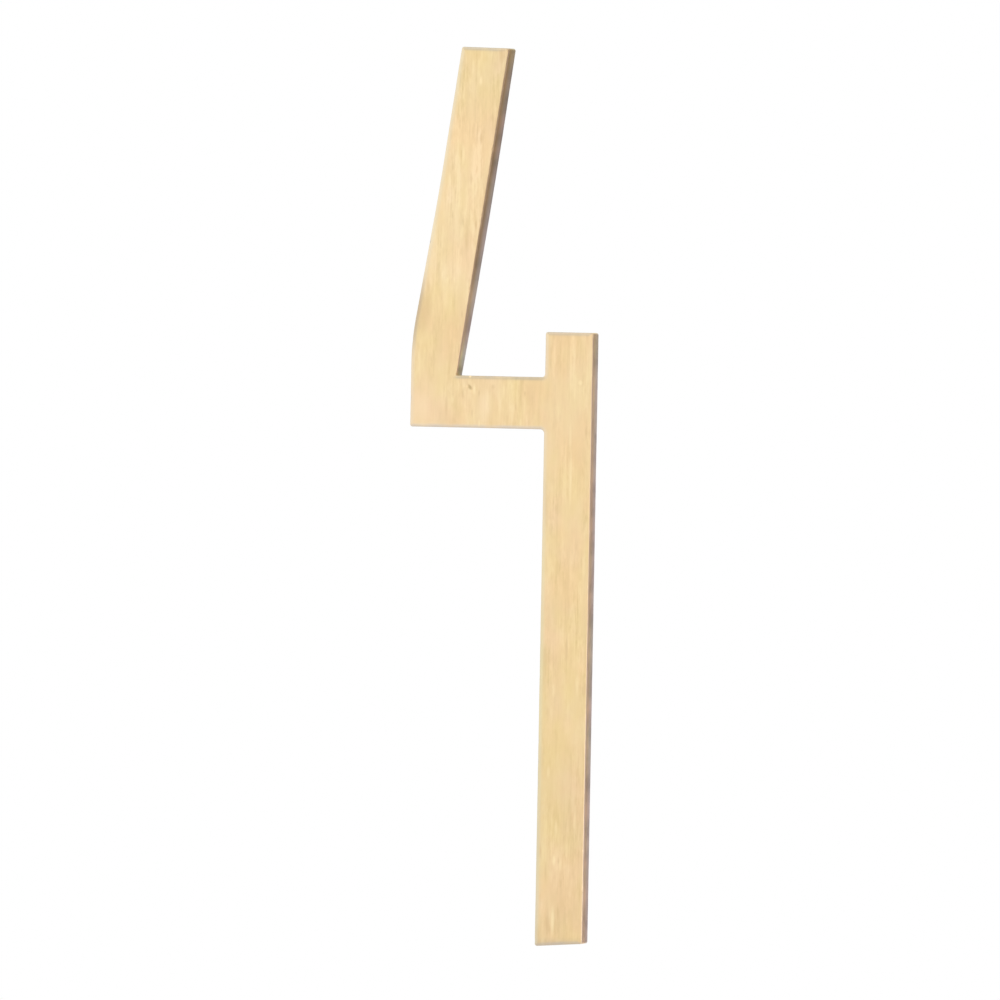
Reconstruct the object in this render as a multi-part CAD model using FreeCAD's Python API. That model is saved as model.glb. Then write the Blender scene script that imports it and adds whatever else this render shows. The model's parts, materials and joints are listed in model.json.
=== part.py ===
import FreeCAD, Part
import math
import os

# Door number: an open figure 4 cut from one piece of brass plate.
# Sizes are in millimetres and degrees. +Z runs up the figure, +X runs to its
# right, and its face looks along -Y. The origin lies on the flat back, where
# the centreline of the stem crosses the centreline of the bar.

# Whole figure
FIGURE_HEIGHT = 150.0  # lowest corner of the foot to highest corner of the arm
PLATE_THICKNESS = 3.0

# Stem: the upright stroke, from its foot to the stub above the bar
STEM_WIDTH = 8.35
STUB_RISE = 7.55  # end of the stem above the top of the bar
FOOT_SKEW = 0.6  # right corner of the foot above its left corner

# Bar: the level stroke
BAR_DEPTH = 8.7
BAR_REACH = 28.05  # centreline of the stem to the upright outer edge

# Arm: the leaning stroke at the upper left
ARM_RISE = 59.35  # highest corner of the arm above the centreline of the bar
ARM_WIDTH = 8.2  # measured square across the stroke
ARM_LEAN = 8.6  # from upright, top to the right
ARM_END_SKEW = 0.2  # right corner of the arm's end below its left corner
CROOK_WIDTH = 8.05  # upright outer edge to the inner corner, along the bar's top
ARM_MIDDLE_SPLAY = 0.42  # the inner side bows out at the back by this much half way up
ARM_END_SPLAY = 0.3  # and by this much at the arm's end, from nothing at the crook

# Outer edge, where the arm grows into the bar through a slow bend
SWELL_HEIGHT = 34.0  # the outer edge starts to leave the arm's line here
SWELL_RADIUS = 300.0
BEND_HEIGHT = 10.0  # where the leaning and the upright edge would meet
BEND_RADIUS = 45.0

# Corners seen from the front
CORNER_RADIUS = 0.4
UPPER_NECK_RADIUS = 0.6  # inner corner between the stub and the bar
LOWER_NECK_RADIUS = 0.75  # inner corner between the bar and the stem

# Softened edges of the plate
FACE_ARRIS = 0.22
BACK_ARRIS = 0.12

# Tapped holes in the back for concealed M3 fixing studs
STUD_HOLE_DIAMETER = 2.5
STUD_HOLE_DEPTH = 2.0
STUD_MOUTH_CHAMFER = 0.3
STUD_INSET = 10.0  # from each end of the figure, along its height

OVERSHOOT = 1.0  # how far a cutting tool runs past what it cuts
NEAR = 1e-4  # how close two places are when they count as one


def arm_slope():
    """Sideways travel of the arm for each millimetre of height."""
    return math.tan(math.radians(ARM_LEAN))


def arm_inner_x(z):
    """Front inner edge of the arm at height z."""
    crook_x = -BAR_REACH + CROOK_WIDTH
    return crook_x + (z - BAR_DEPTH / 2) * arm_slope()


def arm_outer_x(z):
    """Outer edge of the arm at height z, above its swell."""
    level_width = ARM_WIDTH / math.cos(math.radians(ARM_LEAN))
    return arm_inner_x(z) - level_width


def corner_places():
    """Named corners of the front outline, as (x, z)."""
    stem_x = STEM_WIDTH / 2
    bar_z = BAR_DEPTH / 2
    stub_z = bar_z + STUB_RISE
    foot_z = ARM_RISE - FIGURE_HEIGHT
    arm_right_z = ARM_RISE - ARM_END_SKEW
    return {
        "foot_left": (-stem_x, foot_z),
        "foot_right": (stem_x, foot_z + FOOT_SKEW),
        "stub_right": (stem_x, stub_z),
        "stub_left": (-stem_x, stub_z),
        "upper_neck": (-stem_x, bar_z),
        "crook": (arm_inner_x(bar_z), bar_z),
        "arm_right": (arm_inner_x(arm_right_z), arm_right_z),
        "arm_left": (arm_outer_x(ARM_RISE), ARM_RISE),
        "swell": (arm_outer_x(SWELL_HEIGHT), SWELL_HEIGHT),
        "bend": (-BAR_REACH, BEND_HEIGHT),
        "bar_left": (-BAR_REACH, -bar_z),
        "lower_neck": (-stem_x, -bar_z),
    }


def corner_radii():
    """Radius in the outline of each corner that isn't sharp."""
    return {
        "foot_left": CORNER_RADIUS,
        "foot_right": CORNER_RADIUS,
        "stub_right": CORNER_RADIUS,
        "stub_left": CORNER_RADIUS,
        "upper_neck": UPPER_NECK_RADIUS,
        "arm_left": CORNER_RADIUS,
        "swell": SWELL_RADIUS,
        "bend": BEND_RADIUS,
        "bar_left": CORNER_RADIUS,
        "lower_neck": LOWER_NECK_RADIUS,
    }


def rounded_outline(places, radii):
    """Closed wire on the back plane through the places, with their corners rounded."""
    names = list(places)
    points = [FreeCAD.Vector(x, 0, z) for x, z in places.values()]
    edges = []
    last_end = None
    first_start = None
    for i, name in enumerate(names):
        corner = points[i]
        back = (points[i - 1] - corner).normalize()
        ahead = (points[(i + 1) % len(points)] - corner).normalize()
        radius = radii.get(name, 0.0)
        half_angle = back.getAngle(ahead) / 2
        tangent_length = radius / math.tan(half_angle)
        start = corner + back * tangent_length
        end = corner + ahead * tangent_length
        if last_end is None:
            first_start = start
        else:
            edges.append(Part.LineSegment(last_end, start).toShape())
        if radius > 0:
            to_arc = radius / math.sin(half_angle) - radius
            middle = corner + (back + ahead).normalize() * to_arc
            edges.append(Part.Arc(start, middle, end).toShape())
        last_end = end
    edges.append(Part.LineSegment(last_end, first_start).toShape())
    return Part.Wire(edges)


def plate_blank():
    """The figure cut square through the plate, with stock left on the arm's inner side."""
    places = corner_places()
    left_x, left_z = places["arm_left"]
    right_x, right_z = places["arm_right"]
    crook_x, crook_z = places["crook"]
    end_slope = (right_z - left_z) / (right_x - left_x)
    places["arm_right"] = (right_x + OVERSHOOT, right_z + OVERSHOOT * end_slope)
    places["crook"] = (crook_x + OVERSHOOT, crook_z)
    outline = rounded_outline(places, corner_radii())
    return Part.Face(outline).extrude(FreeCAD.Vector(0, -PLATE_THICKNESS, 0))


def stock_beside_arm(y, middle_splay, end_splay):
    """Section at y of what is cut away beside the arm, bounded by the arm's inner side there."""
    low_z = BAR_DEPTH / 2
    high_z = ARM_RISE + OVERSHOOT
    middle_z = (low_z + high_z) / 2
    clear_x = arm_inner_x(high_z) + 2 * OVERSHOOT
    low = FreeCAD.Vector(arm_inner_x(low_z), y, low_z)
    middle = FreeCAD.Vector(arm_inner_x(middle_z) + middle_splay, y, middle_z)
    high = FreeCAD.Vector(arm_inner_x(high_z) + end_splay, y, high_z)
    high_clear = FreeCAD.Vector(clear_x, y, high_z)
    low_clear = FreeCAD.Vector(clear_x, y, low_z)
    side = Part.BSplineCurve()
    side.interpolate([low, middle, high])
    edges = [side.toShape()]
    for start, end in ((high, high_clear), (high_clear, low_clear), (low_clear, low)):
        edges.append(Part.LineSegment(start, end).toShape())
    return Part.Wire(edges)


def splay_cutter():
    """Cuts the arm's inner side straight at the face and bowed out at the back."""
    front = stock_beside_arm(-PLATE_THICKNESS, 0.0, 0.0)
    back = stock_beside_arm(0.0, ARM_MIDDLE_SPLAY, ARM_END_SPLAY)
    return Part.makeLoft([front, back], True, True)


def arm_end_edge(plate):
    """The edge through the plate at the right corner of the arm's end."""
    x, z = corner_places()["arm_right"]
    for edge in plate.Edges:
        ends = [vertex.Point for vertex in edge.Vertexes]
        through = abs(ends[0].y - ends[-1].y) > PLATE_THICKNESS - NEAR
        at_face = min(ends, key=lambda point: point.y)
        if through and math.hypot(at_face.x - x, at_face.z - z) < NEAR:
            return edge
    raise ValueError("the arm's end has no edge through the plate")


def rim_edges(plate, y):
    """The edges of the plate that lie in the plane at y."""
    rim = []
    for edge in plate.Edges:
        box = edge.BoundBox
        if abs(box.YMin - y) < NEAR and abs(box.YMax - y) < NEAR:
            rim.append(edge)
    return rim


def soften_edges(plate):
    """Round the arm's last corner, then the edges of the face and of the back."""
    plate = plate.makeFillet(CORNER_RADIUS, [arm_end_edge(plate)])
    plate = plate.makeFillet(FACE_ARRIS, rim_edges(plate, -PLATE_THICKNESS))
    return plate.makeFillet(BACK_ARRIS, rim_edges(plate, 0))


def stud_places():
    """Centres of the two stud holes, as (x, z): near the arm's end and near the foot."""
    arm_z = ARM_RISE - STUD_INSET
    arm_x = (arm_inner_x(arm_z) + arm_outer_x(arm_z)) / 2
    foot_z = ARM_RISE - FIGURE_HEIGHT + STUD_INSET
    return [(arm_x, arm_z), (0.0, foot_z)]


def stud_drill(x, z):
    """Tapping hole for one stud, entered from the back, with its mouth chamfered."""
    radius = STUD_HOLE_DIAMETER / 2
    mouth = FreeCAD.Vector(x, 0, z)
    inward = FreeCAD.Vector(0, -1, 0)
    hole = Part.makeCylinder(radius, STUD_HOLE_DEPTH, mouth, inward)
    flare = Part.makeCone(radius + STUD_MOUTH_CHAMFER, radius, STUD_MOUTH_CHAMFER, mouth, inward)
    return hole.fuse(flare)


def door_number():
    """The finished figure as one solid."""
    plate = plate_blank().cut(splay_cutter()).removeSplitter()
    plate = soften_edges(plate)
    for x, z in stud_places():
        plate = plate.cut(stud_drill(x, z))
    return plate.Solids[0]


os.makedirs("parts", exist_ok=True)
figure = door_number()
figure.exportStep("parts/door_number.step")
box = figure.optimalBoundingBox(False)
print("door_number", round(box.XLength, 3), round(box.YLength, 3), round(box.ZLength, 3))
print("volume", round(figure.Volume, 2), "valid", figure.isValid())
for x, z in stud_places():
    print("stud hole at", round(x, 4), round(z, 4))
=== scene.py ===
import json
import math
import random

import bmesh
import bpy
import numpy as np
from mathutils import Matrix, Vector, geometry, kdtree, noise


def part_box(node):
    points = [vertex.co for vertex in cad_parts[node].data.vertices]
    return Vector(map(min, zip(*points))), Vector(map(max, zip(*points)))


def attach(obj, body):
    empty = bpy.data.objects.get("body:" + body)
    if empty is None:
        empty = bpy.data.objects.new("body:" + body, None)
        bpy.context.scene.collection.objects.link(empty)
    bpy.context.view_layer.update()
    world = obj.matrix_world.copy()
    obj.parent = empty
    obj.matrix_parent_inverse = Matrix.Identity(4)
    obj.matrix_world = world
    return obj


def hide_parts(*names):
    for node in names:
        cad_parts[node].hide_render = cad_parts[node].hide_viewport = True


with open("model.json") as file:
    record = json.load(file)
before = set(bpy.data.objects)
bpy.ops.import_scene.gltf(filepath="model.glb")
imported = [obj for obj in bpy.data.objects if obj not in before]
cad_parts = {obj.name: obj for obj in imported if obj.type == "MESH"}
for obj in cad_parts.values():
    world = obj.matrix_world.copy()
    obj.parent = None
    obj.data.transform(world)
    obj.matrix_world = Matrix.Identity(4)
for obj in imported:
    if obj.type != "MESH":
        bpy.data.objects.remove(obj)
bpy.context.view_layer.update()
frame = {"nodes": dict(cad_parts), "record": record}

# Brass door number: an open figure 4 in brushed plate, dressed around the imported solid.
# Lengths are in metres, written as a count of millimetres, and angles are in degrees.

MM = 0.001
NODE = "door_number"
LOW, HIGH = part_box(NODE)
FACE_Y = LOW.y
BACK_Y = HIGH.y

# Camera: a long lens, a little to the figure's right and almost level with it
CAMERA_AIM = Vector((-12.82, 0.0, -16.37)) * MM
CAMERA_AZIMUTH = 20.0
CAMERA_ELEVATION = 1.0
CAMERA_ROLL = 1.05
CAMERA_DISTANCE = 2.0
CAMERA_REACH = 100.0
PIXELS_PER_METRE = 5974.0
IMAGE_SIDE = 1000
SENSOR_MM = 36.0

# Edges of the plate
FACE_ARRIS = 0.22 * MM
BACK_ARRIS = 0.12 * MM
FACE_ARRIS_STEPS = 5
BACK_ARRIS_STEPS = 3
SIDE_STEPS = 6
SIDE_FRONT = FACE_Y + FACE_ARRIS
SIDE_REAR = BACK_Y - BACK_ARRIS
RIM = 0.08 * MM  # flat band between an arris and the inner mesh of its face

# Outline, taken from the solid
WELD = 0.0005 * MM
CLOSE = 0.02 * MM  # corners nearer together than this count as one
CUT_DEPTH = 0.01 * MM  # how far inside the side, from an arris, the outline is cut
STRAIGHT = math.radians(0.1)
SHARP = math.radians(60)
SPACING = 0.3 * MM
TURN_STEP = math.radians(12)
LEAST_CROSS = 1e-15  # stands for none where two directions run side by side
SHARE_SLACK = 1e-6  # how far past its ends, as a share, an edge still counts
NO_HIT = 1.0  # longer than any distance on the plate

# Hand finish
WAVER = 0.014 * MM  # sideways waver of the edges
WAVER_LENGTH = 5.0 * MM
RIPPLE = 0.006 * MM
RIPPLE_LENGTH = 1.3 * MM
ROLL_OFF = 0.03 * MM  # how far brushing lowers the face beside its edges
ROLL_OFF_WIDTH = 0.5 * MM
SWELL = 0.012 * MM  # long shallow hollows of the face
SWELL_LENGTH = 14.0 * MM
BACK_SWELL = 0.3 * SWELL
BACK_LAYER = 7.0 * MM  # slice of the same noise that the back's hollows come from
NICK_COUNT = 34
NICK_DEPTH = (0.02 * MM, 0.07 * MM)
NICK_WIDTH = (0.12 * MM, 0.5 * MM)
SEED = 4

# Mesh inside the two flat faces
GRID = 0.62 * MM
BORDER_ROWS = (0.18 * MM, 0.42 * MM)  # rows of points that follow the edge inside a face
ROW_GAP = 0.9  # nearest that a row's point may come to any edge, as a share of the row's distance
GRID_GAP = BORDER_ROWS[-1] + GRID / 3
FINE_GRID = 0.09 * MM
FINE_REACH = 0.75 * MM
# The edge tone spread by RIM_FADE is painted shade and highlight
RIM_FADE = 0.36 * MM  # how far the tone of an edge reaches into a face
FILL_MODE = 1  # triangles inside the outer outline only
FILL_TOLERANCE = 1e-9

# Ding below the crook, a short curved bruise, as (x, z)
DING_START = Vector((-17.97, 2.79)) * MM
DING_END = Vector((-17.1, 2.0)) * MM
DING_BOW = 0.12 * MM
DING_DEPTH = 0.07 * MM
DING_FADE = 0.5  # share of its depth that it loses from start to end
DING_WIDTH = 0.2 * MM

# Threaded stud holes in the back
HOLE_RADIUS = 1.25 * MM
HOLE_DEPTH = 2.0 * MM
HOLE_MOUTH = 0.3 * MM
THREAD_PITCH = 0.5 * MM
THREAD_DEPTH = 0.25 * MM
THREAD_RUN_OUT = 0.35 * MM
HOLE_SIDES = 48
HOLE_ROW = 0.05 * MM
HOLE_FIRST_ROW = 0.2 * HOLE_ROW
HOLE_RIM = 0.06 * MM
HOLE_FLOOR_RING = 0.5 * HOLE_RADIUS

# Materials, in the order of their slots
FACE, SIDE, BACK, BORE = range(4)
FACING = 0.7  # least part of a normal along Y on the faces that the grain map takes as flat


def cross(a, b):
    return a[..., 0] * b[..., 1] - a[..., 1] * b[..., 0]


def signed_area(loop):
    return sum(p.cross(q) for p, q in zip(loop, loop[1:] + loop[:1])) / 2


def section_outline(y):
    """Outline of the plate, as (x, z) corners running anticlockwise, where the plane at y cuts it."""
    bm = bmesh.new()
    bm.from_mesh(frame["nodes"][NODE].data)
    bmesh.ops.remove_doubles(bm, verts=bm.verts, dist=WELD)
    everything = bm.verts[:] + bm.edges[:] + bm.faces[:]
    cut = bmesh.ops.bisect_plane(bm, geom=everything, plane_co=(0, y, 0), plane_no=(0, 1, 0))
    bm.verts.index_update()
    bm.edges.index_update()
    found = [item for item in cut["geom_cut"] if isinstance(item, bmesh.types.BMEdge)]
    waiting = {edge.index: edge for edge in sorted(found, key=lambda edge: edge.index)}
    loops = []
    while waiting:
        edge = waiting.pop(next(iter(waiting)))
        first, corner = sorted(edge.verts, key=lambda vert: vert.index)
        loop = [first.co.xz]
        while corner != first:
            loop.append(corner.co.xz)
            edge = next(other for other in corner.link_edges if other.index in waiting)
            del waiting[edge.index]
            corner = edge.other_vert(corner)
        loops.append(loop)
    bm.free()
    outline = max(loops, key=lambda loop: abs(signed_area(loop)))
    if signed_area(outline) < 0:
        outline.reverse()
    start = min(range(len(outline)), key=lambda i: (outline[i].y, outline[i].x))
    return outline[start:] + outline[:start]


def true_corners(outline):
    """The outline without crowded points and points on a straight stretch."""
    apart = outline[:1]
    for point in outline[1:]:
        if (point - apart[-1]).length > CLOSE and (point - apart[0]).length > CLOSE:
            apart.append(point)
    corners = []
    for i, point in enumerate(apart):
        back = point - apart[i - 1]
        ahead = apart[(i + 1) % len(apart)] - point
        if back.angle(ahead) > STRAIGHT:
            corners.append(point)
    return corners


def headings(steps):
    """Directions in which the outline arrives at each corner and leaves it."""
    arriving, leaving = [], []
    for back, ahead in zip(steps[-1:] + steps[:-1], steps):
        if back.angle(ahead) < SHARP:
            heading = (back * back.length + ahead * ahead.length).normalized()
            arriving.append(heading)
            leaving.append(heading)
        else:
            arriving.append(back.normalized())
            leaving.append(ahead.normalized())
    return arriving, leaving


def smooth_outline(corners):
    """Close points along the outline, curved through slight corners and sharp at the others."""
    count = len(corners)
    steps = [corners[(i + 1) % count] - corners[i] for i in range(count)]
    arriving, leaving = headings(steps)
    points = []
    for i in range(count):
        start, end = corners[i], corners[(i + 1) % count]
        away, home = leaving[i], arriving[(i + 1) % count]
        turn = away.angle(home)
        reach = steps[i].length / math.cos(turn / 4) ** 2
        pieces = max(math.ceil(steps[i].length / SPACING), math.ceil(turn / TURN_STEP))
        for k in range(pieces):
            u = k / pieces
            points.append(
                start * (2 * u**3 - 3 * u**2 + 1)
                + away * reach * (u**3 - 2 * u**2 + u)
                + end * (3 * u**2 - 2 * u**3)
                + home * reach * (u**3 - u**2)
            )
    return np.array([tuple(p) for p in points])


def mitres(outline):
    """Outward direction at each point, as long as a unit offset of both its edges needs."""
    ahead = np.roll(outline, -1, axis=0) - outline
    ahead /= np.linalg.norm(ahead, axis=1)[:, None]
    out_ahead = np.stack([ahead[:, 1], -ahead[:, 0]], axis=1)
    out_back = np.roll(out_ahead, 1, axis=0)
    return (out_ahead + out_back) / (1 + (out_ahead * out_back).sum(axis=1))[:, None]


def reach_to(outline, directions, other):
    """How far each point of an outline lies from another outline, along its direction."""
    span = np.roll(other, -1, axis=0) - other
    gap = other[None] - outline[:, None]
    across = cross(directions[:, None], span[None])
    across[abs(across) < LEAST_CROSS] = LEAST_CROSS
    along = cross(gap, span[None]) / across
    share = cross(gap, directions[:, None]) / across
    along[(share < -SHARE_SLACK) | (share > 1 + SHARE_SLACK)] = NO_HIT
    nearest = np.argmin(abs(along), axis=1)
    return along[np.arange(len(outline)), nearest]


def edge_profile():
    """Rings round the plate from back to face, as (inset, y, share of a nick's depth, material)."""
    rings = [(BACK_ARRIS + RIM, BACK_Y, 0.0, BACK)]
    for k in range(BACK_ARRIS_STEPS + 1):
        angle = math.pi / 2 * k / BACK_ARRIS_STEPS
        inset = BACK_ARRIS * (1 - math.sin(angle))
        y = BACK_Y - BACK_ARRIS * (1 - math.cos(angle))
        rings.append((inset, y, 0.0, BACK if k < BACK_ARRIS_STEPS else SIDE))
    for k in range(1, SIDE_STEPS):
        rings.append((0.0, SIDE_REAR + (SIDE_FRONT - SIDE_REAR) * k / SIDE_STEPS, 0.0, SIDE))
    for k in range(FACE_ARRIS_STEPS + 1):
        angle = math.pi / 2 * k / FACE_ARRIS_STEPS
        inset = FACE_ARRIS * (1 - math.cos(angle))
        rings.append((inset, SIDE_FRONT - FACE_ARRIS * math.sin(angle), math.sin(2 * angle), FACE))
    rings.append((FACE_ARRIS + RIM, FACE_Y, 0.0, FACE))
    return rings


def nick_depths(outline):
    """Depth of the small nicks in the face's arris at each point of the outline."""
    chance = random.Random(SEED)
    steps = np.linalg.norm(np.roll(outline, -1, axis=0) - outline, axis=1)
    along = np.concatenate([[0.0], np.cumsum(steps)[:-1]])
    depths = np.zeros(len(outline))
    for _ in range(NICK_COUNT):
        place = chance.uniform(0, along[-1])
        width = chance.uniform(*NICK_WIDTH)
        depth = chance.uniform(*NICK_DEPTH)
        depths += depth * np.exp(-(((along - place) / width) ** 2))
    return depths


def waver(x, y, z):
    """Small sideways error of a hand finished edge."""
    slow = noise.noise(Vector((x, y, z)) / WAVER_LENGTH)
    quick = noise.noise(Vector((x, y, z)) / RIPPLE_LENGTH)
    return WAVER * slow + RIPPLE * quick


def edge_rings():
    """Points and material of every ring round the plate, and the way out at each of their places."""
    front = smooth_outline(true_corners(section_outline(SIDE_FRONT + CUT_DEPTH)))
    back = smooth_outline(true_corners(section_outline(SIDE_REAR - CUT_DEPTH)))
    out = mitres(front)
    splay = reach_to(front, out, back)
    nicks = nick_depths(front)
    rings = []
    for inset, y, nick_share, material in edge_profile():
        share = min(max((y - SIDE_FRONT) / (SIDE_REAR - SIDE_FRONT), 0.0), 1.0)
        ring = []
        for i, (x, z) in enumerate(front):
            nick = nicks[i] * nick_share
            shift = splay[i] * share - inset - nick + waver(x, y, z)
            ring.append((x + out[i, 0] * shift, y + nick, z + out[i, 1] * shift))
        rings.append((ring, material))
    return rings, out / np.linalg.norm(out, axis=1)[:, None]


def inside(points, loop):
    """Which points lie inside a closed loop."""
    start = loop[None]
    end = np.roll(loop, -1, axis=0)[None]
    x, z = points[:, 0, None], points[:, 1, None]
    spans = (start[..., 1] > z) != (end[..., 1] > z)
    rise = np.where(end[..., 1] == start[..., 1], 1.0, end[..., 1] - start[..., 1])
    crossing = start[..., 0] + (z - start[..., 1]) / rise * (end[..., 0] - start[..., 0])
    return (spans & (x < crossing)).sum(axis=1) % 2 == 1


def tree_of(points):
    tree = kdtree.KDTree(len(points))
    for i, (x, z) in enumerate(points):
        tree.insert((x, z, 0), i)
    tree.balance()
    return tree


def triangular_grid(low, high, spacing):
    """Points of even triangles that fill a box, as (x, z)."""
    points = []
    pitch = spacing * math.sqrt(3) / 2
    for j in range(int((high[1] - low[1]) / pitch) + 1):
        shift = spacing / 2 * (j % 2)
        for i in range(int((high[0] - low[0]) / spacing) + 1):
            points.append((low[0] + shift + i * spacing, low[1] + j * pitch))
    return np.array(points)


def inner_points(ring, out, holes, fine_centre):
    """Places inside a face for its mesh: rows along its edge, an even grid, finer round one centre."""
    border = tree_of(list(ring) + [p for hole in holes for p in hole])
    parts = [(ring - out * row, ROW_GAP * row) for row in BORDER_ROWS]
    parts.append((triangular_grid(ring.min(axis=0), ring.max(axis=0), GRID), GRID_GAP))
    if fine_centre is not None:
        for k, (points, gap) in enumerate(parts):
            away = np.linalg.norm(points - fine_centre, axis=1)
            parts[k] = (points[away > FINE_REACH + FINE_GRID], gap)
        fine = triangular_grid(fine_centre - FINE_REACH, fine_centre + FINE_REACH, FINE_GRID)
        away = np.linalg.norm(fine - fine_centre, axis=1)
        parts.append((fine[away < FINE_REACH], FINE_GRID))
    kept = []
    for points, gap in parts:
        wanted = inside(points, ring)
        for hole in holes:
            wanted &= ~inside(points, np.array(hole))
        for x, z in points[wanted]:
            if border.find((x, z, 0))[2] > gap:
                kept.append((x, z))
    return kept


class Body:
    """Vertices and faces of the piece, gathered part by part."""

    def __init__(self):
        self.places = []
        self.rims = []
        self.faces = []
        self.materials = []

    def add_places(self, places, rims=None):
        """Adds vertices; a rim is the way out over the nearest edge, as (x, z), and fades inwards."""
        first = len(self.places)
        self.places.extend(places)
        self.rims.extend([(0.0, 0.0)] * len(places) if rims is None else [tuple(rim) for rim in rims])
        return list(range(first, len(self.places)))

    def add_face(self, corners, material):
        self.faces.append(corners)
        self.materials.append(material)

    def flat_place(self, i):
        """A vertex seen from the front, as (x, z)."""
        return self.places[i][0], self.places[i][2]

    def band(self, lower, upper, material):
        """Quads between two closed rings of the same count."""
        for i in range(len(lower)):
            k = (i + 1) % len(lower)
            self.add_face((lower[i], lower[k], upper[k], upper[i]), material)

    def cap(self, rim, holes, height, material, fine_centre=None):
        """Triangles that fill a rim round its holes, with their inner points at a height."""
        borders = [rim] + holes
        known = [i for loop in borders for i in loop]
        flat = [Vector(self.flat_place(i)) for i in known]
        edges, first = [], 0
        for loop in borders:
            count = len(loop)
            edges += [(first + i, first + (i + 1) % count) for i in range(count)]
            first += count
        ring = np.array([tuple(p) for p in flat[: len(rim)]])
        out = np.array([self.rims[i] for i in rim])
        hole_loops = [[self.flat_place(i) for i in hole] for hole in holes]
        inner = inner_points(ring, out, hole_loops, fine_centre)
        edge = tree_of(ring)
        rims = []
        for x, z in inner:
            _, nearest, away = edge.find((x, z, 0))
            rims.append(out[nearest] * math.exp(-((away / RIM_FADE) ** 2)))
        known += self.add_places([(x, height(x, z), z) for x, z in inner], rims)
        flat += [Vector(p) for p in inner]
        filled = geometry.delaunay_2d_cdt(flat, edges, [], FILL_MODE, FILL_TOLERANCE)
        sources = [origin[0] for origin in filled[3]]
        triangles = [[sources[i] for i in triangle] for triangle in filled[2]]
        centres = np.array([tuple(sum((flat[i] for i in t), Vector((0, 0))) / 3) for t in triangles])
        wanted = np.ones(len(triangles), bool)
        for hole in hole_loops:
            wanted &= ~inside(centres, np.array(hole))
        for triangle, keep in zip(triangles, wanted):
            if keep:
                self.add_face(tuple(known[i] for i in triangle), material)


def distance_to_ding(x, z):
    """Distance from the middle line of the ding, and how far along it, from 0 to 1."""
    point = Vector((x, z))
    along = DING_END - DING_START
    share = min(max((point - DING_START).dot(along) / along.length_squared, 0.0), 1.0)
    side = Vector((-along.y, along.x)).normalized()
    middle = DING_START + along * share + side * DING_BOW * math.sin(math.pi * share)
    return (point - middle).length, share


def face_height(outline_tree):
    """Function for the y of the brushed face at (x, z)."""

    def height(x, z):
        from_edge = outline_tree.find((x, z, 0))[2]
        roll = ROLL_OFF * math.exp(-((from_edge / ROLL_OFF_WIDTH) ** 2))
        hollow = SWELL * (0.5 + 0.5 * noise.noise(Vector((x, z, 0)) / SWELL_LENGTH))
        settle = min(from_edge / ROLL_OFF_WIDTH, 1.0)
        away, share = distance_to_ding(x, z)
        bruise = DING_DEPTH * (1 - DING_FADE * share) * math.exp(-((away / DING_WIDTH) ** 2))
        return FACE_Y + roll * settle + hollow * settle + bruise

    return height


def back_height(x, z):
    """The y of the flat back at (x, z)."""
    return BACK_Y - BACK_SWELL * (0.5 + 0.5 * noise.noise(Vector((x, z, BACK_LAYER)) / SWELL_LENGTH))


def hole_ring(centre, y, radius_at):
    """Points round a stud hole at y, each at the radius given for its y and angle."""
    ring = []
    for i in range(HOLE_SIDES):
        angle = 2 * math.pi * i / HOLE_SIDES
        radius = radius_at(y, angle)
        ring.append((centre[0] + radius * math.cos(angle), y, centre[1] + radius * math.sin(angle)))
    return ring


def thread_radius(y, angle):
    """Radius of a stud hole's wall: chamfer at the mouth, then a triangular thread."""
    depth = BACK_Y - y
    mouth = HOLE_RADIUS + HOLE_MOUTH - depth
    phase = (depth / THREAD_PITCH + angle / (2 * math.pi)) % 1.0
    groove = 1 - abs(2 * phase - 1)
    left = max(HOLE_DEPTH - THREAD_RUN_OUT - depth, 0.0)
    fade = min(left / THREAD_RUN_OUT, 1.0)
    return max(mouth, HOLE_RADIUS + THREAD_DEPTH * groove * fade)


def add_stud_hole(body, centre):
    """Threaded blind hole at (x, z); returns its rim in the back face."""
    rim_radius = HOLE_RADIUS + HOLE_MOUTH + HOLE_RIM
    rim = body.add_places(hole_ring(centre, BACK_Y, lambda y, angle: rim_radius))
    last = rim
    rows = round(HOLE_DEPTH / HOLE_ROW)
    for row in range(rows + 1):
        y = BACK_Y - max(row * HOLE_ROW, HOLE_FIRST_ROW)
        ring = body.add_places(hole_ring(centre, y, thread_radius))
        body.band(last, ring, BORE if row else BACK)
        last = ring
    floor = body.add_places(hole_ring(centre, BACK_Y - HOLE_DEPTH, lambda y, angle: HOLE_FLOOR_RING))
    body.band(last, floor, BORE)
    middle = body.add_places([(centre[0], BACK_Y - HOLE_DEPTH, centre[1])])[0]
    for i in range(HOLE_SIDES):
        body.add_face((floor[i], floor[(i + 1) % HOLE_SIDES], middle), BORE)
    return rim


def stud_places():
    """Centres of the threaded mounts, as (x, z)."""
    mounts = frame["record"]["mounts"]
    threaded = [mount["pos_m"] for mount in mounts if mount["kind"] == "threaded_hole"]
    return [(x, z) for x, _, z in threaded]


def add_object(name, data, place=(0, 0, 0)):
    item = bpy.data.objects.new(name, data)
    item.location = place
    bpy.context.scene.collection.objects.link(item)
    return item


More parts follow.
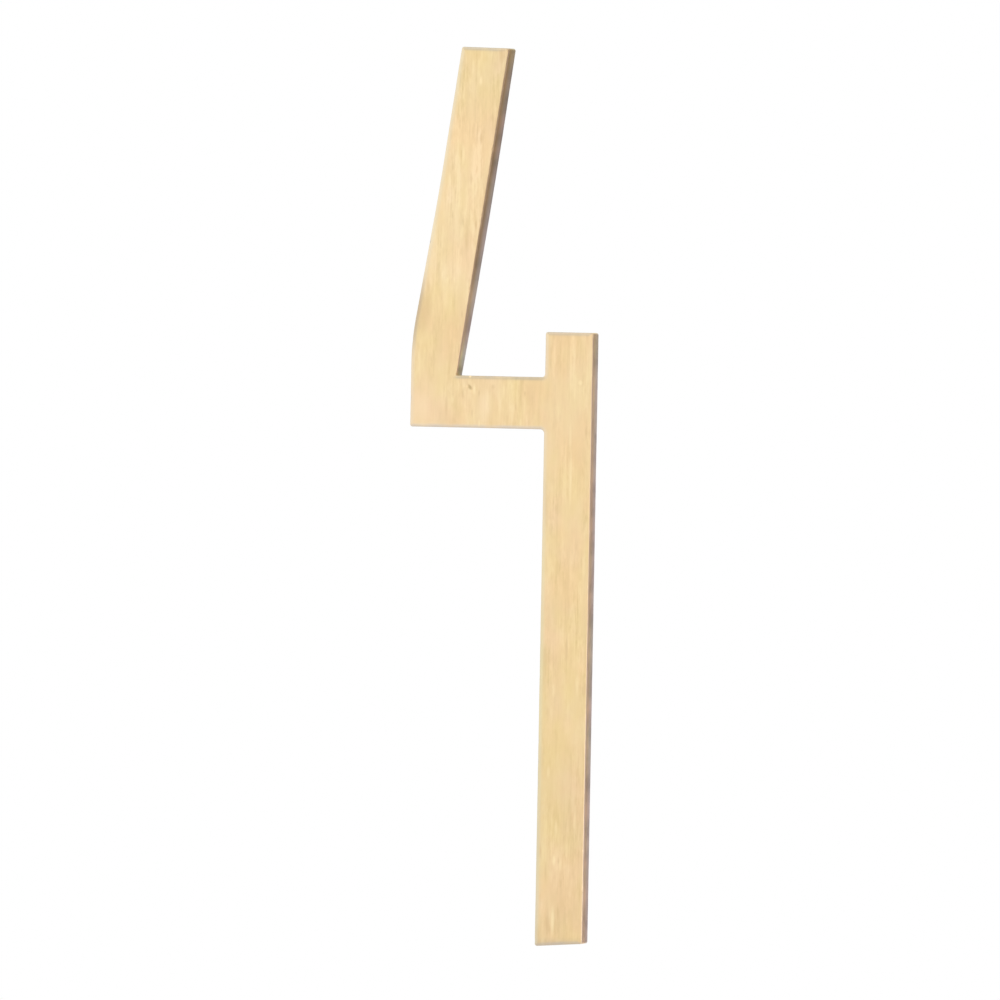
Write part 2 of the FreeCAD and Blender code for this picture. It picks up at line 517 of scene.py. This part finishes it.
def build_figure():
    """The whole numeral as one closed mesh."""
    body = Body()
    edges, out = edge_rings()
    rings = [(body.add_places(places, out), material) for places, material in edges]
    for (lower, material), (upper, next_material) in zip(rings, rings[1:]):
        body.band(lower, upper, next_material if material == SIDE else material)
    back_rim, face_rim = rings[0][0], rings[-1][0]
    hole_rims = [add_stud_hole(body, centre) for centre in stud_places()]
    outline_tree = tree_of([body.flat_place(i) for i in face_rim])
    ding_centre = np.array((DING_START + DING_END) / 2)
    body.cap(face_rim, [], face_height(outline_tree), FACE, ding_centre)
    body.cap(back_rim, hole_rims, back_height, BACK)

    mesh = bpy.data.meshes.new("brushed_figure")
    mesh.from_pydata(body.places, [], body.faces)
    mesh.polygons.foreach_set("material_index", body.materials)
    mesh.polygons.foreach_set("use_smooth", [True] * len(body.faces))
    bm = bmesh.new()
    bm.from_mesh(mesh)
    bmesh.ops.recalc_face_normals(bm, faces=bm.faces)
    add_grain_map(bm)
    bm.to_mesh(mesh)
    bm.free()
    rim = mesh.attributes.new("rim", "FLOAT_VECTOR", "POINT")
    rim.data.foreach_set("vector", [value for x, z in body.rims for value in (x, 0.0, z)])
    return add_object("brushed_figure", mesh)


def add_grain_map(bm):
    """UVs in millimetres whose U runs across the grain: along X on the faces, along Y on the side."""
    layer = bm.loops.layers.uv.new("grain")
    for face in bm.faces:
        flat = abs(face.normal.y) > FACING
        level = abs(face.normal.z) > abs(face.normal.x)
        for loop in face.loops:
            x, y, z = loop.vert.co / MM
            if flat:
                loop[layer].uv = (x, z)
            elif level:
                loop[layer].uv = (y, x)
            else:
                loop[layer].uv = (y, z)


class Shader:
    """One material's node tree, with short calls to add and link nodes."""

    def __init__(self, name):
        self.material = bpy.data.materials.new(name)
        self.material.use_nodes = True
        self.tree = self.material.node_tree
        self.surface = self.tree.nodes["Principled BSDF"]
        self.place = self.add("ShaderNodeTexCoord").outputs["Object"]

    def add(self, kind, inputs=None, **settings):
        """A node of one kind, with its settings and what goes into its sockets."""
        node = self.tree.nodes.new(kind)
        for key, value in settings.items():
            setattr(node, key, value)
        for key, value in (inputs or {}).items():
            self.feed(node.inputs[key], value)
        return node

    def feed(self, socket, value):
        """Links another node's output to a socket, or sets its value; colours are opaque."""
        if isinstance(value, bpy.types.NodeSocket):
            self.tree.links.new(value, socket)
        elif socket.type == "RGBA":
            socket.default_value = (*value, 1)
        else:
            socket.default_value = value

    def math(self, operation, *values):
        node = self.add("ShaderNodeMath", operation=operation)
        for socket, value in zip(node.inputs, values):
            self.feed(socket, value)
        return node.outputs[0]

    def product(self, first, *others):
        for other in others:
            first = self.math("MULTIPLY", first, other)
        return first

    def total(self, start, parts):
        """A start value with each noise added by its weight, counted from the noise's middle."""
        result = start
        for value, weight in parts:
            result = self.math("MULTIPLY_ADD", self.math("SUBTRACT", value, 0.5), weight, result)
        return result

    def noise(self, per_metre, detail=2.0, roughness=0.55):
        """Noise from 0 to 1 with its own count per metre along X, Y and Z."""
        spread = self.add("ShaderNodeVectorMath", {0: self.place, 1: per_metre}, operation="MULTIPLY")
        texture = self.add(
            "ShaderNodeTexNoise",
            {"Vector": spread.outputs[0], "Scale": 1.0, "Detail": detail, "Roughness": roughness},
        )
        return texture.outputs["Fac"]

    def ramp(self, value, stops):
        """Colour for a value from 0 to 1, given as (value, colour) stops."""
        node = self.add("ShaderNodeValToRGB", {"Fac": value})
        elements = node.color_ramp.elements
        while len(elements) < len(stops):
            elements.new(0.5)
        for element, (position, colour) in zip(elements, stops):
            element.position = position
            element.color = (*colour, 1)
        return node.outputs["Color"]

    def remap(self, value, old, new, smooth=False):
        """A value moved from its old range, given as (low, high), into a new one."""
        node = self.add(
            "ShaderNodeMapRange",
            {"Value": value, "From Min": old[0], "From Max": old[1], "To Min": new[0], "To Max": new[1]},
            interpolation_type="SMOOTHSTEP" if smooth else "LINEAR",
        )
        return node.outputs["Result"]

    def mix(self, share, first, second, blend="MIX"):
        """The first colour where the share is 0 and the second where it is 1."""
        node = self.add("ShaderNodeMix", data_type="RGBA", blend_type=blend)
        self.feed(node.inputs["Factor"], share)
        self.feed(node.inputs[6], first)
        self.feed(node.inputs[7], second)
        return node.outputs[2]

    def tint(self, colour, other, share=1.0):
        """A colour multiplied by another."""
        return self.mix(share, colour, other, blend="MULTIPLY")

    def cover(self, colour, tone, *shares):
        """A colour covered by a tone, as much as the shares multiply to."""
        return self.mix(self.product(*shares), colour, tone)

    def axis(self, name):
        split = self.add("ShaderNodeSeparateXYZ", {"Vector": self.place})
        return split.outputs[name]

    def rim(self):
        """How near, from 0 to 1, an edge is on the left, on the right, above and below."""
        near = self.add("ShaderNodeAttribute", attribute_name="rim")
        split = self.add("ShaderNodeSeparateXYZ", {"Vector": near.outputs["Vector"]})
        ways = [split.outputs["X"], split.outputs["Z"]]
        left, below = [self.math("MAXIMUM", self.math("MULTIPLY", way, -1.0), 0.0) for way in ways]
        right, above = [self.math("MAXIMUM", way, 0.0) for way in ways]
        return left, right, above, below

    def along(self, value, stops):
        """Colour that changes with a height in metres, given as (millimetres, colour) stops."""
        low, high = stops[0][0], stops[-1][0]
        share = self.remap(value, (low * MM, high * MM), (0.0, 1.0))
        return self.ramp(share, [((mm - low) / (high - low), colour) for mm, colour in stops])

    def spot(self, x, z, half_width, half_length, strength, lean=0.0):
        """Soft oval mask on the face, strongest at its centre, with its length along the grain."""
        local = self.add(
            "ShaderNodeMapping",
            {
                "Vector": self.place,
                "Location": (x * MM, FACE_Y, z * MM),
                "Rotation": (0, math.radians(lean), 0),
                "Scale": (half_width * MM, 1.0, half_length * MM),
            },
            vector_type="TEXTURE",
        )
        length = self.add("ShaderNodeVectorMath", {0: local.outputs[0]}, operation="LENGTH")
        return self.remap(length.outputs["Value"], (SPOT_CORE, 1.0), (strength, 0.0), smooth=True)

    def spots(self, marks):
        """One mask for several marks, the strongest at each place."""
        top = self.spot(*marks[0])
        for mark in marks[1:]:
            top = self.math("MAXIMUM", top, self.spot(*mark))
        return top

    def finish(self, colour, roughness, bump, distance, strength, grain=0.6):
        """The material as metal with this colour, roughness, bump and strength of grain."""
        normal = self.add("ShaderNodeBump", {"Height": bump, "Distance": distance, "Strength": strength})
        tangent = self.add("ShaderNodeTangent", direction_type="UV_MAP", uv_map="grain")
        self.feed(self.surface.inputs["Base Color"], colour)
        self.feed(self.surface.inputs["Roughness"], roughness)
        self.feed(self.surface.inputs["Normal"], normal.outputs["Normal"])
        self.feed(self.surface.inputs["Tangent"], tangent.outputs["Tangent"])
        self.feed(self.surface.inputs["Metallic"], 1.0)
        self.feed(self.surface.inputs["Anisotropic"], grain)
        return self.material


# Marks on the face, as (x, z, half width, half length) in millimetres, then strength and lean
BRIGHT_MARKS = [
    (0.72, -12.4, 0.36, 6.8, 0.62),
    (-1.05, -86.2, 0.5, 3.2, 0.8),
    (0.55, -5.6, 0.36, 3.4, 0.45),
    (-19.4, 28.3, 0.56, 2.2, 0.5),
    (2.6, -69.6, 0.34, 4.0, 0.42),
    (2.55, -46.9, 0.4, 2.2, 0.42),
    (-19.35, 41.3, 0.38, 2.1, 0.6),
    (-17.4, 29.0, 0.34, 1.9, 0.55),
    (-16.5, 53.7, 0.36, 1.1, 0.7),
    (-0.75, -71.0, 0.4, 2.0, 0.5),
    (-16.66, 2.15, 0.34, 1.15, 0.85),
    (-2.25, -61.5, 0.42, 1.5, 0.4),
    (0.2, -77.0, 0.4, 1.6, 0.38),
    (-0.95, -76.2, 0.42, 1.3, 0.75),
    (-15.7, -3.5, 0.32, 0.9, 0.6),
    (-20.5, 0.3, 0.38, 1.0, 0.5),
    (2.15, 3.55, 0.6, 0.6, 0.7),
    (-11.4, 1.9, 0.32, 1.7, 0.45),
    (-8.35, -3.3, 0.32, 1.0, 0.5),
    (-26.2, -1.6, 2.4, 4.4, 0.35),
    (-14.6, -0.6, 1.7, 3.4, 0.3),
]
DARK_MARKS = [
    (-18.45, 27.1, 0.58, 3.8, 0.6),
    (0.55, -41.0, 0.36, 3.4, 0.85),
    (-1.95, -87.0, 0.5, 3.4, 1.0),
    (-21.6, -0.8, 0.36, 2.8, 0.7),
    (3.35, -4.5, 0.36, 2.0, 0.5),
    (-25.8, 14.8, 1.9, 5.2, 0.7, 9.0),
    (-12.7, 58.1, 0.9, 1.9, 0.75, 9.0),
    (-3.4, -88.6, 0.9, 2.2, 0.4),
    (-25.2, 19.1, 0.52, 1.7, 0.5),
    (-26.6, 12.8, 0.7, 1.9, 0.7),
    (-16.9, 29.6, 0.28, 1.4, 1.0),
    (-16.3, 44.0, 0.28, 1.5, 0.7),
    (-18.7, 1.3, 0.38, 1.3, 0.6),
    (-14.3, 47.5, 0.36, 1.1, 0.7),
    (-25.1, 16.4, 0.38, 1.0, 0.5),
    (-3.4, -74.7, 0.28, 1.6, 0.6),
    (-17.9, 37.2, 0.28, 1.6, 0.5),
    (-17.0, -1.95, 0.28, 1.1, 0.5),
    (-2.45, -78.2, 0.3, 2.2, 0.65),
    (-9.25, -0.7, 0.28, 1.1, 0.6),
    (-19.1, 14.6, 0.28, 0.9, 0.6),
    (-7.65, 1.55, 0.26, 0.7, 0.7),
    (-15.8, 1.5, 0.26, 0.8, 0.7),
    (-13.3, 2.6, 0.5, 0.6, 0.5),
    (-0.15, -85.0, 0.32, 1.8, 0.85),
    (-0.2, -76.3, 0.28, 0.9, 0.7),
]
ROSY_PATCHES = [
    (-25.2, -1.6, 5.4, 6.0, 1.0),
    (-15.2, -1.2, 2.4, 3.8, 0.8),
]
BRUISE = (-17.47, 2.42, 0.42, 0.74, 0.8, -38.0)
EDGE_NICK = (-17.45, 4.3, 0.3, 0.4, 1.0)
SPOT_CORE = 0.15  # share of a mark, from its middle, that is at full strength
BRIGHT_SHARE = 0.8
DARK_SHARE = 0.7

# Brass of the face, from its darkest lines to its brightest marks, and tints laid over it
WARM_DARK = (0.72, 0.52, 0.285)
BRASS_DARK = (0.822, 0.622, 0.35)
BRASS = (0.905, 0.694, 0.405)
BRASS_LIGHT = (0.966, 0.766, 0.468)
BRASS_GLINT = (1.0, 0.82, 0.50)
# Painted shade in the hollow of the ding
BRUISE_SHADE = (0.50, 0.37, 0.185)
ROSY = (0.998, 0.973, 0.995)
EVEN = (0.98, 0.98, 0.98)
GREENISH = (0.969, 0.987, 0.946)
ROSY_PATCH_TINT = (1.02, 1.02, 1.11)
YELLOWER = (1.0, 0.998, 0.945)
PALER = (1.0, 1.0, 1.055)

# Painted light and shade on the brushed face by height in millimetres: lightest up the arm, deepest at
# the foot
PAINTED_LIGHT_BY_HEIGHT = [
    (-90.7, (0.78, 0.80, 0.84)),
    (-89.0, (0.96, 0.94, 0.885)),
    (-66.0, (0.938, 0.918, 0.872)),
    (-54.0, (0.972, 0.959, 0.922)),
    (-8.0, (0.985, 0.978, 0.957)),
    (12.0, (0.976, 0.965, 0.945)),
    (22.0, (1.0, 1.0, 1.0)),
    (44.0, (0.988, 0.986, 0.99)),
    (52.0, (0.968, 0.974, 0.985)),
    (59.4, (0.93, 0.925, 0.875)),
]

# Strength of the grain, and of the wander in hue, by height in millimetres: calm on the bar and
# the stub, strongest at the arm's end
LIVELINESS = [
    (-90.7, 0.66),
    (-66.0, 0.7),
    (-50.0, 0.83),
    (-14.0, 0.83),
    (-3.0, 0.62),
    (12.0, 0.62),
    (22.0, 0.86),
    (40.0, 0.86),
    (59.4, 1.0),
]
STEM_START = (-9 * MM, -4 * MM)  # where, along X, the grain falls to its strength on the stem
STEM_CALM = 0.8
GRAIN_REACH = (0.54, 2.22)  # strength of the grain in its weakest and strongest gusts

# Painted shade and highlight on the face by height: a band of painted shade beside each edge, and painted
# shade on the softened edge itself, its arris, with a painted highlight low on the right arris
# The arris's painted shade and highlight come in along Y between these
ARRIS_START = (FACE_Y + 0.01 * MM, FACE_Y + 0.1 * MM)  # where, along Y, its tone comes in
LEFT_SHADE_BAND = [
    (-90.7, (0.70, 0.66, 0.51)),
    (-40.0, (0.79, 0.73, 0.49)),
    (2.0, (0.86, 0.72, 0.55)),
    (34.0, (0.85, 0.76, 0.57)),
]
LEFT_SHADE_BAND_SHARE = 0.6
LEFT_ARRIS_SHADE = (0.70, 0.64, 0.54)
LEFT_ARRIS_SHADE_SHARE = 0.7
BEND_TARNISH = (-26.8, 14.6, 2.6, 8.6, 1.0, 8.0)
TARNISH = (0.42, 0.365, 0.315)
# Painted shade along the top and bottom edges: bands beside them and on their arrises
TOP_SHADE_BAND = [
    (4.4, (0.53, 0.475, 0.36)),
    (11.0, (0.62, 0.54, 0.42)),
    (59.4, (0.62, 0.55, 0.42)),
]
TOP_ARRIS_SHADE = (0.70, 0.61, 0.46)
UNDER_SHADE_BAND = [
    (-90.7, (0.55, 0.485, 0.41)),
    (-4.4, (0.68, 0.60, 0.51)),
]
UNDER_ARRIS_SHADE = (0.62, 0.54, 0.43)
LEVEL_SHADE_FALL = 2.2  # power by which the bands above and below fall off
LEVEL_SHADE_BAND_SHARE = 0.8
LEVEL_ARRIS_SHADE_SHARE = 0.95
# Painted highlight low down the right arris, painted shade on it up the arm
RIGHT_ARRIS_HIGHLIGHT_AND_SHADE = [
    (-90.7, (0.96, 0.745, 0.53)),
    (-58.0, (0.93, 0.72, 0.50)),
    (-20.0, (0.85, 0.635, 0.415)),
    (0.0, (0.82, 0.615, 0.405)),
    (14.0, (0.72, 0.53, 0.33)),
    (24.0, (0.56, 0.39, 0.22)),
]

# Tones of the plate's side, front and rear, the rear one greyed by a painted reflection: plain, with
# painted shade inside the arm, and painted light at its foot
EDGE_FRONT = (0.98, 0.72, 0.365)
EDGE_REAR_GREY_REFLECTION = (0.88, 0.765, 0.585)
SHADED_RISE = (7 * MM, 27 * MM)  # heights between which the shade inside the arm comes in
SHADED_FRONT = (0.515, 0.325, 0.135)
SHADED_REAR = [
    (10.0, (0.66, 0.565, 0.43)),
    (28.0, (0.66, 0.575, 0.465)),
    (46.0, (0.58, 0.475, 0.345)),
]
FOOT_GLOW = (-19.3, 6.6, 1.6, 4.0, 1.0)
GLOW_FRONT = (1.0, 0.83, 0.38)
GLOW_REAR = (1.0, 0.96, 0.74)
EDGE_PATCHES = [(0.36, (0.85, 0.86, 0.81)), (0.5, (0.95, 0.95, 0.95)), (0.64, (1.0, 0.97, 1.0))]
EDGE_CAST = [(0.4, (1.0, 0.965, 1.0)), (0.6, (0.96, 1.0, 0.985))]
EDGE_LINES = [(0.3, (0.94, 0.94, 0.94)), (0.7, (1.0, 1.0, 1.0))]

# Painted shade in the corners of the side, as marks
CORNER_SHADOW_TONE = (0.60, 0.50, 0.19)
CORNER_SHADES = [
    (-19.6, 5.3, 1.3, 1.2, 0.5),
    (4.17, 12.0, 1.6, 7.5, 0.35),
    (-12.0, 58.8, 2.6, 4.6, 0.4),
]

# Tones of the back and of the threads, from dark to light
BACK_TONES = [(0.36, (0.72, 0.54, 0.305)), (0.5, (0.83, 0.635, 0.37)), (0.64, (0.90, 0.70, 0.42))]
THREAD_TONES = [(0.35, (0.72, 0.53, 0.27)), (0.65, (0.9, 0.7, 0.4))]


def face_material():
    """Satin brass brushed along the height: straight lines, fine hairs, soft blotches and a few marks,
    under painted light and shade by height and along its edges.
    """
    s = Shader("brushed_brass_face")
    height = s.axis("Z")
    band = s.noise((950, 950, 84))
    line = s.noise((1850, 1850, 140))
    fleck = s.noise((2500, 2500, 800), detail=1.0)
    hair = s.noise((6500, 6500, 330), detail=1.0)
    blotch = s.noise((200, 200, 110), detail=3.0)
    gust = s.noise((480, 480, 115), detail=1.0)
    lively = s.along(height, [(mm, (strength,) * 3) for mm, strength in LIVELINESS])
    reach = s.product(
        s.remap(gust, (0.36, 0.64), GRAIN_REACH),
        s.remap(s.axis("X"), STEM_START, (1.0, STEM_CALM), smooth=True),
        lively,
    )
    grain = s.total(0.0, [(band, 0.29), (line, 0.36), (fleck, 0.24), (hair, 0.17)])
    tone = s.total(s.math("MULTIPLY_ADD", grain, reach, 0.5), [(blotch, 0.34)])
    colour = s.ramp(tone, [(0.34, BRASS_DARK), (0.5, BRASS), (0.66, BRASS_LIGHT)])

    hue = s.ramp(s.noise((210, 210, 120)), [(0.36, ROSY), (0.5, EVEN), (0.64, GREENISH)])
    pale = s.remap(s.noise((160, 160, 85)), (0.38, 0.62), (0.0, 1.0))
    colour = s.tint(colour, hue)
    colour = s.tint(colour, s.mix(pale, YELLOWER, PALER), lively)
    # Painted light and shade by height: lightest up the arm, darkest at the foot
    colour = s.tint(colour, s.along(height, PAINTED_LIGHT_BY_HEIGHT))
    colour = s.tint(colour, ROSY_PATCH_TINT, s.spots(ROSY_PATCHES))
    colour = with_painted_edge_light(s, colour, height)
    colour = with_marks(s, colour)

    roughness = s.remap(line, (0.3, 0.7), (0.33, 0.43))
    bump = s.total(0.5, [(line, 0.6), (hair, 0.4)])
    return s.finish(colour, roughness, bump, distance=0.03 * MM, strength=0.35)


def with_painted_edge_light(s, colour, height):
    """The face's colour with painted shade beside its edges and on them, and painted highlight and shade
    on the right arris.
    """
    left, right, above, below = s.rim()
    arris = s.remap(s.axis("Y"), ARRIS_START, (0.0, 1.0), smooth=True)
    uneven = s.remap(s.noise((330, 330, 330)), (0.35, 0.65), (0.6, 1.1))
    # Painted shade in a band along the left edge and on its arris, turned towards tarnish at the bend
    left_shade_and_tarnish = s.mix(s.spot(*BEND_TARNISH), s.along(height, LEFT_SHADE_BAND), TARNISH)
    colour = s.cover(colour, left_shade_and_tarnish, left, LEFT_SHADE_BAND_SHARE)
    colour = s.cover(colour, LEFT_ARRIS_SHADE, left, arris, LEFT_ARRIS_SHADE_SHARE)
    # Painted shade in bands along the top and bottom edges and on their arrises
    for near, painted_band_shade, painted_arris_shade in ((above, TOP_SHADE_BAND, TOP_ARRIS_SHADE), (below, UNDER_SHADE_BAND, UNDER_ARRIS_SHADE)):
        level = s.product(s.math("POWER", near, LEVEL_SHADE_FALL), uneven)
        colour = s.cover(colour, s.along(height, painted_band_shade), level, LEVEL_SHADE_BAND_SHARE)
        colour = s.cover(colour, painted_arris_shade, level, arris, LEVEL_ARRIS_SHADE_SHARE)
    # Painted highlight and shade on the right arris
    return s.cover(colour, s.along(height, RIGHT_ARRIS_HIGHLIGHT_AND_SHADE), right, arris, uneven)


def with_marks(s, colour):
    """The face's colour with its bright and dark streaks, the bruise with painted shade in its hollow,
    and the nick above it.
    """
    colour = s.cover(colour, BRASS_GLINT, s.spots(BRIGHT_MARKS), BRIGHT_SHARE)
    colour = s.cover(colour, WARM_DARK, s.spots(DARK_MARKS), DARK_SHARE)
    # Painted shade in the ding's hollow
    colour = s.cover(colour, BRUISE_SHADE, s.spot(*BRUISE))
    return s.cover(colour, BRASS_GLINT, s.spot(*EDGE_NICK))


def side_material():
    """Side of the plate: rosier and duller than the face, with a painted grey reflection behind, painted
    shade inside the arm, painted light at the arm's foot and painted shade in its corners.
    """
    s = Shader("brass_edge")
    height = s.axis("Z")
    lines = s.noise((260, 4200, 260))
    patch = s.noise((230, 160, 230), detail=3.0, roughness=0.6)
    cast = s.noise((120, 120, 120))
    # The blend from front to rear paints a grey reflection on the rear of the side
    depth = s.remap(s.axis("Y"), (SIDE_FRONT, SIDE_REAR), (0.0, 1.0), smooth=True)
    _, right, _, _ = s.rim()
    # Painted shade on the right side up the arm, and painted light at the arm's foot
    up_the_arm = s.remap(height, SHADED_RISE, (0.0, 1.0), smooth=True)
    shaded = s.product(up_the_arm, s.remap(right, (0.2, 0.7), (0.0, 1.0)))
    glow = s.spot(*FOOT_GLOW)
    front = s.mix(shaded, s.mix(glow, EDGE_FRONT, GLOW_FRONT), SHADED_FRONT)
    rear = s.mix(shaded, s.mix(glow, EDGE_REAR_GREY_REFLECTION, GLOW_REAR), s.along(height, SHADED_REAR))
    # Painted shade in the side's corners
    colour = s.cover(s.mix(depth, front, rear), CORNER_SHADOW_TONE, s.spots(CORNER_SHADES))
    for value, stops in ((patch, EDGE_PATCHES), (cast, EDGE_CAST), (lines, EDGE_LINES)):
        colour = s.tint(colour, s.ramp(value, stops))
    roughness = s.remap(patch, (0.3, 0.7), (0.36, 0.5))
    return s.finish(colour, roughness, lines, distance=0.03 * MM, strength=0.5, grain=0.3)


def back_material():
    """Back of the plate: plain rolled stock with crossing scuffs."""
    s = Shader("brass_back")
    rolled = s.noise((900, 900, 60), detail=3.0)
    scuff = s.noise((80, 80, 2400))
    cloud = s.noise((90, 90, 90), detail=4.0, roughness=0.6)
    tone = s.total(0.5, [(rolled, 0.4), (scuff, 0.15), (cloud, 0.45)])
    colour = s.ramp(tone, BACK_TONES)
    roughness = s.remap(tone, (0.35, 0.65), (0.48, 0.3))
    return s.finish(colour, roughness, rolled, distance=0.02 * MM, strength=0.35, grain=0.35)


def bore_material():
    """Freshly tapped thread."""
    s = Shader("brass_thread")
    turned = s.noise((300, 9000, 300))
    colour = s.ramp(turned, THREAD_TONES)
    roughness = s.remap(turned, (0.3, 0.7), (0.2, 0.34))
    return s.finish(colour, roughness, turned, distance=0.01 * MM, strength=0.3, grain=0.0)


# Studio: white all round, a cool grey card behind to the right, soft lamps and a pale floor
AMBIENT = 0.8
WHITE = (1, 1, 1)
FLOOR_Z = -0.35
FLOOR_RADIUS = 1.5
FLOOR_SIDES = 96
FLOOR_FADE = (0.45, 0.98)  # shares of the radius between which it melts away
FLOOR_TONE = (0.82, 0.81, 0.8)
FLOOR_ROUGHNESS = 0.9
FLOOR_GLOW = 0.3
CARD_PLACE = Vector((0.26, 0.62, -0.12))
CARD_SIZE = (0.7, 0.9)
CARD_TONE = (0.41, 0.362, 0.495)
KEY = {"place": (-0.75, -1.1, 0.6), "size": 1.1, "power": 1.3, "colour": (1.0, 0.98, 0.95)}
RIM_LAMP = {"place": (0.95, -0.33, -0.14), "size": 0.14, "power": 0.25, "colour": (1.0, 0.96, 0.92)}


def add_shape(name, place, make, **settings):
    """Object with the mesh that one bmesh operator makes."""
    mesh = bpy.data.meshes.new(name)
    bm = bmesh.new()
    make(bm, **settings)
    bm.to_mesh(mesh)
    bm.free()
    return add_object(name, mesh, place)


def add_camera():
    azimuth = math.radians(CAMERA_AZIMUTH)
    elevation = math.radians(CAMERA_ELEVATION)
    back = Vector((
        math.sin(azimuth) * math.cos(elevation),
        -math.cos(azimuth) * math.cos(elevation),
        math.sin(elevation),
    ))
    data = bpy.data.cameras.new("camera")
    data.sensor_width = SENSOR_MM
    data.lens = SENSOR_MM * CAMERA_DISTANCE * PIXELS_PER_METRE / IMAGE_SIDE
    data.clip_end = CAMERA_REACH
    camera = add_object("camera", data)
    turn = (-back).to_track_quat("-Z", "Y").to_matrix().to_4x4()
    roll = Matrix.Rotation(math.radians(CAMERA_ROLL), 4, "Z")
    camera.matrix_world = Matrix.Translation(CAMERA_AIM + back * CAMERA_DISTANCE) @ turn @ roll
    bpy.context.scene.camera = camera


def add_lamp(name, settings):
    """Round lamp, out of the camera's sight, that faces the middle of the picture."""
    data = bpy.data.lights.new(name, "AREA")
    data.shape = "DISK"
    data.size = settings["size"]
    data.energy = settings["power"]
    data.color = settings["colour"]
    lamp = add_object(name, data, settings["place"])
    lamp.rotation_euler = (CAMERA_AIM - lamp.location).to_track_quat("-Z", "Y").to_euler()
    lamp.visible_camera = False


def direct_view(tree):
    """1 for rays that show the background itself: seen straight, in metal or through glass."""
    path = tree.nodes.new("ShaderNodeLightPath")
    total = path.outputs["Is Camera Ray"]
    for name in ("Is Glossy Ray", "Is Transmission Ray"):
        join = tree.nodes.new("ShaderNodeMath")
        join.operation = "MAXIMUM"
        tree.links.new(total, join.inputs[0])
        tree.links.new(path.outputs[name], join.inputs[1])
        total = join.outputs[0]
    return total


def add_world():
    """White world, dimmer as a light than it looks."""
    world = bpy.data.worlds.new("white_studio")
    bpy.context.scene.world = world
    world.use_nodes = True
    tree = world.node_tree
    strength = tree.nodes.new("ShaderNodeMapRange")
    strength.inputs["To Min"].default_value = AMBIENT
    strength.inputs["To Max"].default_value = 1.0
    tree.links.new(direct_view(tree), strength.inputs["Value"])
    background = tree.nodes["Background"]
    background.inputs["Color"].default_value = (*WHITE, 1)
    tree.links.new(strength.outputs["Result"], background.inputs["Strength"])


def add_floor():
    """Pale round floor that keeps a shadow and melts into the white at its edge."""
    floor = add_shape(
        "floor",
        (0, 0, FLOOR_Z),
        bmesh.ops.create_circle,
        cap_ends=True,
        segments=FLOOR_SIDES,
        radius=FLOOR_RADIUS,
    )
    s = Shader("pale_floor")
    s.feed(s.surface.inputs["Base Color"], FLOOR_TONE)
    s.feed(s.surface.inputs["Roughness"], FLOOR_ROUGHNESS)
    glow = s.add("ShaderNodeEmission", {"Color": WHITE})
    s.feed(glow.inputs["Strength"], s.product(direct_view(s.tree), FLOOR_GLOW))
    lit = s.add("ShaderNodeAddShader", {0: s.surface.outputs[0], 1: glow.outputs[0]})
    from_middle = s.add("ShaderNodeVectorMath", {0: s.place}, operation="LENGTH")
    rings = [share * FLOOR_RADIUS for share in FLOOR_FADE]
    fade = s.remap(from_middle.outputs["Value"], rings, (0, 1), smooth=True)
    clear = s.add("ShaderNodeBsdfTransparent")
    mixed = s.add("ShaderNodeMixShader", {0: fade, 1: lit.outputs[0], 2: clear.outputs[0]})
    s.feed(s.tree.nodes["Material Output"].inputs["Surface"], mixed.outputs[0])
    floor.data.materials.append(s.material)


def add_card():
    """Cool grey card, out of the camera's sight, that the plate's right side mirrors."""
    card = add_shape(
        "grey_card",
        CARD_PLACE,
        bmesh.ops.create_grid,
        x_segments=1,
        y_segments=1,
        size=0.5,
    )
    card.scale = (*CARD_SIZE, 1)
    card.rotation_euler = (-CARD_PLACE).to_track_quat("Z", "Y").to_euler()
    card.visible_camera = False
    card.visible_shadow = False
    s = Shader("grey_card")
    s.feed(s.surface.inputs["Base Color"], CARD_TONE)
    s.feed(s.surface.inputs["Roughness"], 1.0)
    card.data.materials.append(s.material)


bpy.context.scene.view_settings.view_transform = "Standard"
add_camera()
add_world()
add_floor()
add_card()
add_lamp("key", KEY)
add_lamp("rim", RIM_LAMP)

figure = build_figure()
for make in (face_material, side_material, back_material, bore_material):
    figure.data.materials.append(make())
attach(figure, "root")
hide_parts(NODE)
